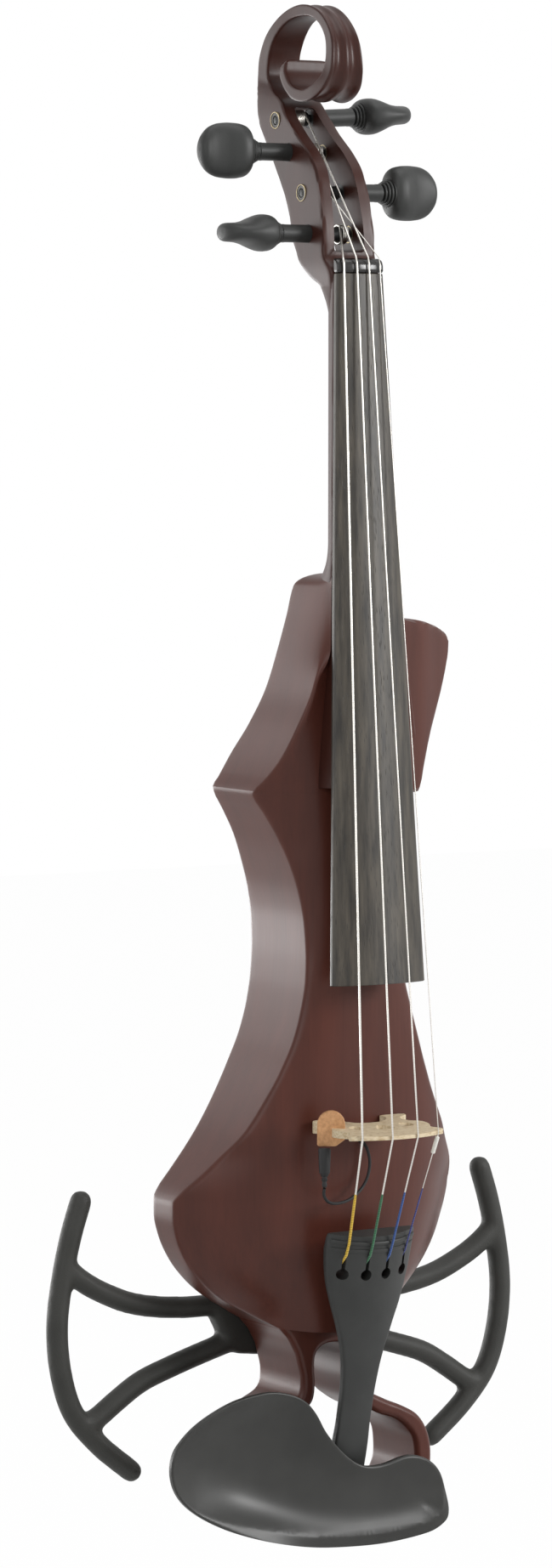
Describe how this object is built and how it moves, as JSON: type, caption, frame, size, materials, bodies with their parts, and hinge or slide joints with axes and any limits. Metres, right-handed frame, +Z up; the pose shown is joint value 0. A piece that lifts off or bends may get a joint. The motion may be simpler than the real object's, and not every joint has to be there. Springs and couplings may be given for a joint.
{
  "type": "electric violin",
  "caption": "Electric violin with a slim carved body, open tail loop, ring scroll, geared pegs, bridge pickup, chin rest and a pair of barred shoulder wings.",
  "frame": {"origin": "just inside the neck's wood on the instrument's centre line, level with the seam between nut and fingerboard", "axes": "+Z up towards the scroll, -Y towards the side of the strings, +X towards the treble side"},
  "size_m": [0.2136, 0.0991, 0.592],
  "materials": {
    "stained_wood": "satin lacquer over a dark red-brown stain",
    "ebony": "oiled",
    "maple": "bare, fine sanded",
    "pearwood": "bare",
    "matt_black": "matt",
    "satin_black": "satin",
    "wing_black": "fine grained, matt",
    "black_rubber": "smooth",
    "string_metal": "fine wound ribbon",
    "steel": "satin plated",
    "brass": "turned",
    "white_plastic": "translucent white",
    "cork": "pressed cork",
    "circuit": "solder mask",
    "battery_case": "satin"
  },
  "bodies": {
    "instrument": {"body": "stained_wood", "neck_and_scroll": "stained_wood", "fingerboard": "ebony", "nut": "ebony", "peg_g_casing": "matt_black", "peg_g_bush": "brass", "peg_d_casing": "matt_black", "peg_d_bush": "brass", "peg_a_casing": "matt_black", "peg_a_bush": "brass", "peg_e_casing": "matt_black", "peg_e_bush": "brass", "string_g": "string_metal", "string_d": "string_metal", "string_a": "string_metal", "string_e": "string_metal", "e_string_sleeve": "white_plastic", "bridge": "maple", "pickup_disc": "pearwood", "pickup_strain_relief": "black_rubber", "pickup_cable": "black_rubber", "tailpiece": "matt_black", "tail_gut": "black_rubber", "saddle": "ebony", "end_button": "ebony", "chin_rest": "satin_black", "chin_rest_pad_bass": "cork", "chin_rest_pad_treble": "cork", "chin_rest_bracket": "steel", "chin_rest_back_pad": "cork", "wing_bass": "wing_black", "wing_treble": "wing_black", "wing_bass_screw_1": "steel", "wing_bass_screw_2": "steel", "wing_treble_screw_1": "steel", "wing_treble_screw_2": "steel", "back_cover": "matt_black", "cover_screw_1": "steel", "cover_screw_2": "steel", "cover_screw_3": "steel", "cover_screw_4": "steel", "battery": "battery_case", "circuit_board": "circuit", "output_socket": "steel", "headphone_socket": "steel"},
    "g_peg_head": {"peg_g_head": "matt_black"},
    "g_peg_spool": {"peg_g_spool": "matt_black"},
    "d_peg_head": {"peg_d_head": "matt_black"},
    "d_peg_spool": {"peg_d_spool": "matt_black"},
    "a_peg_head": {"peg_a_head": "matt_black"},
    "a_peg_spool": {"peg_a_spool": "matt_black"},
    "e_peg_head": {"peg_e_head": "matt_black"},
    "e_peg_spool": {"peg_e_spool": "matt_black"},
    "bass_barrel": {"clamp_barrel_bass": "steel"},
    "treble_barrel": {"clamp_barrel_treble": "steel"},
    "volume": {"volume_knob": "matt_black"},
    "tone": {"tone_knob": "matt_black"},
    "switch": {"power_switch_lever": "matt_black"},
    "door": {"battery_door": "matt_black"}
  },
  "joints": [
    {"name": "g_peg_turn", "type": "hinge", "parent": "instrument", "child": "g_peg_head", "pos_m": [0, 0.0146, 0.0151], "axis": [1, 0, 0], "continuous": true},
    {"name": "g_spool_turn", "type": "hinge", "parent": "instrument", "child": "g_peg_spool", "pos_m": [0, 0.0146, 0.0151], "axis": [1, 0, 0], "continuous": true},
    {"name": "d_peg_turn", "type": "hinge", "parent": "instrument", "child": "d_peg_head", "pos_m": [0, 0.031, 0.0465], "axis": [1, 0, 0], "continuous": true},
    {"name": "d_spool_turn", "type": "hinge", "parent": "instrument", "child": "d_peg_spool", "pos_m": [0, 0.031, 0.0465], "axis": [1, 0, 0], "continuous": true},
    {"name": "a_peg_turn", "type": "hinge", "parent": "instrument", "child": "a_peg_head", "pos_m": [0, 0.0404, 0.0596], "axis": [0.9981, 0, 0.061], "continuous": true},
    {"name": "a_spool_turn", "type": "hinge", "parent": "instrument", "child": "a_peg_spool", "pos_m": [0, 0.0404, 0.0596], "axis": [0.9981, 0, 0.061], "continuous": true},
    {"name": "e_peg_turn", "type": "hinge", "parent": "instrument", "child": "e_peg_head", "pos_m": [0, 0.0199, 0.0309], "axis": [0.9999, 0, 0.0157], "continuous": true},
    {"name": "e_spool_turn", "type": "hinge", "parent": "instrument", "child": "e_peg_spool", "pos_m": [0, 0.0199, 0.0309], "axis": [0.9999, 0, 0.0157], "continuous": true},
    {"name": "bass_barrel_turn", "type": "hinge", "parent": "instrument", "child": "bass_barrel", "pos_m": [-0.019, 0.0258, -0.4865], "axis": [0, 1, 0], "continuous": true},
    {"name": "treble_barrel_turn", "type": "hinge", "parent": "instrument", "child": "treble_barrel", "pos_m": [0.019, 0.0258, -0.4865], "axis": [0, 1, 0], "continuous": true},
    {"name": "volume_turn", "type": "hinge", "parent": "instrument", "child": "volume", "pos_m": [-0.024, 0.0424, -0.353], "axis": [0, 1, 0], "range_deg": [-145, 145]},
    {"name": "tone_turn", "type": "hinge", "parent": "instrument", "child": "tone", "pos_m": [-0.024, 0.0424, -0.371], "axis": [0, 1, 0], "range_deg": [-145, 145]},
    {"name": "switch_slide", "type": "slide", "parent": "instrument", "child": "switch", "axis": [0, 0, 1], "range_m": [0, 0.004]},
    {"name": "door_swing", "type": "hinge", "parent": "instrument", "child": "door", "pos_m": [0, 0.04115, -0.3097], "axis": [1, 0, 0], "range_deg": [0, 90]}
  ],
  "couplings": [
    {"joint": "g_spool_turn", "follows": "g_peg_turn", "ratio": 0.25},
    {"joint": "d_spool_turn", "follows": "d_peg_turn", "ratio": 0.25},
    {"joint": "a_spool_turn", "follows": "a_peg_turn", "ratio": 0.25},
    {"joint": "e_spool_turn", "follows": "e_peg_turn", "ratio": 0.25}
  ]
}
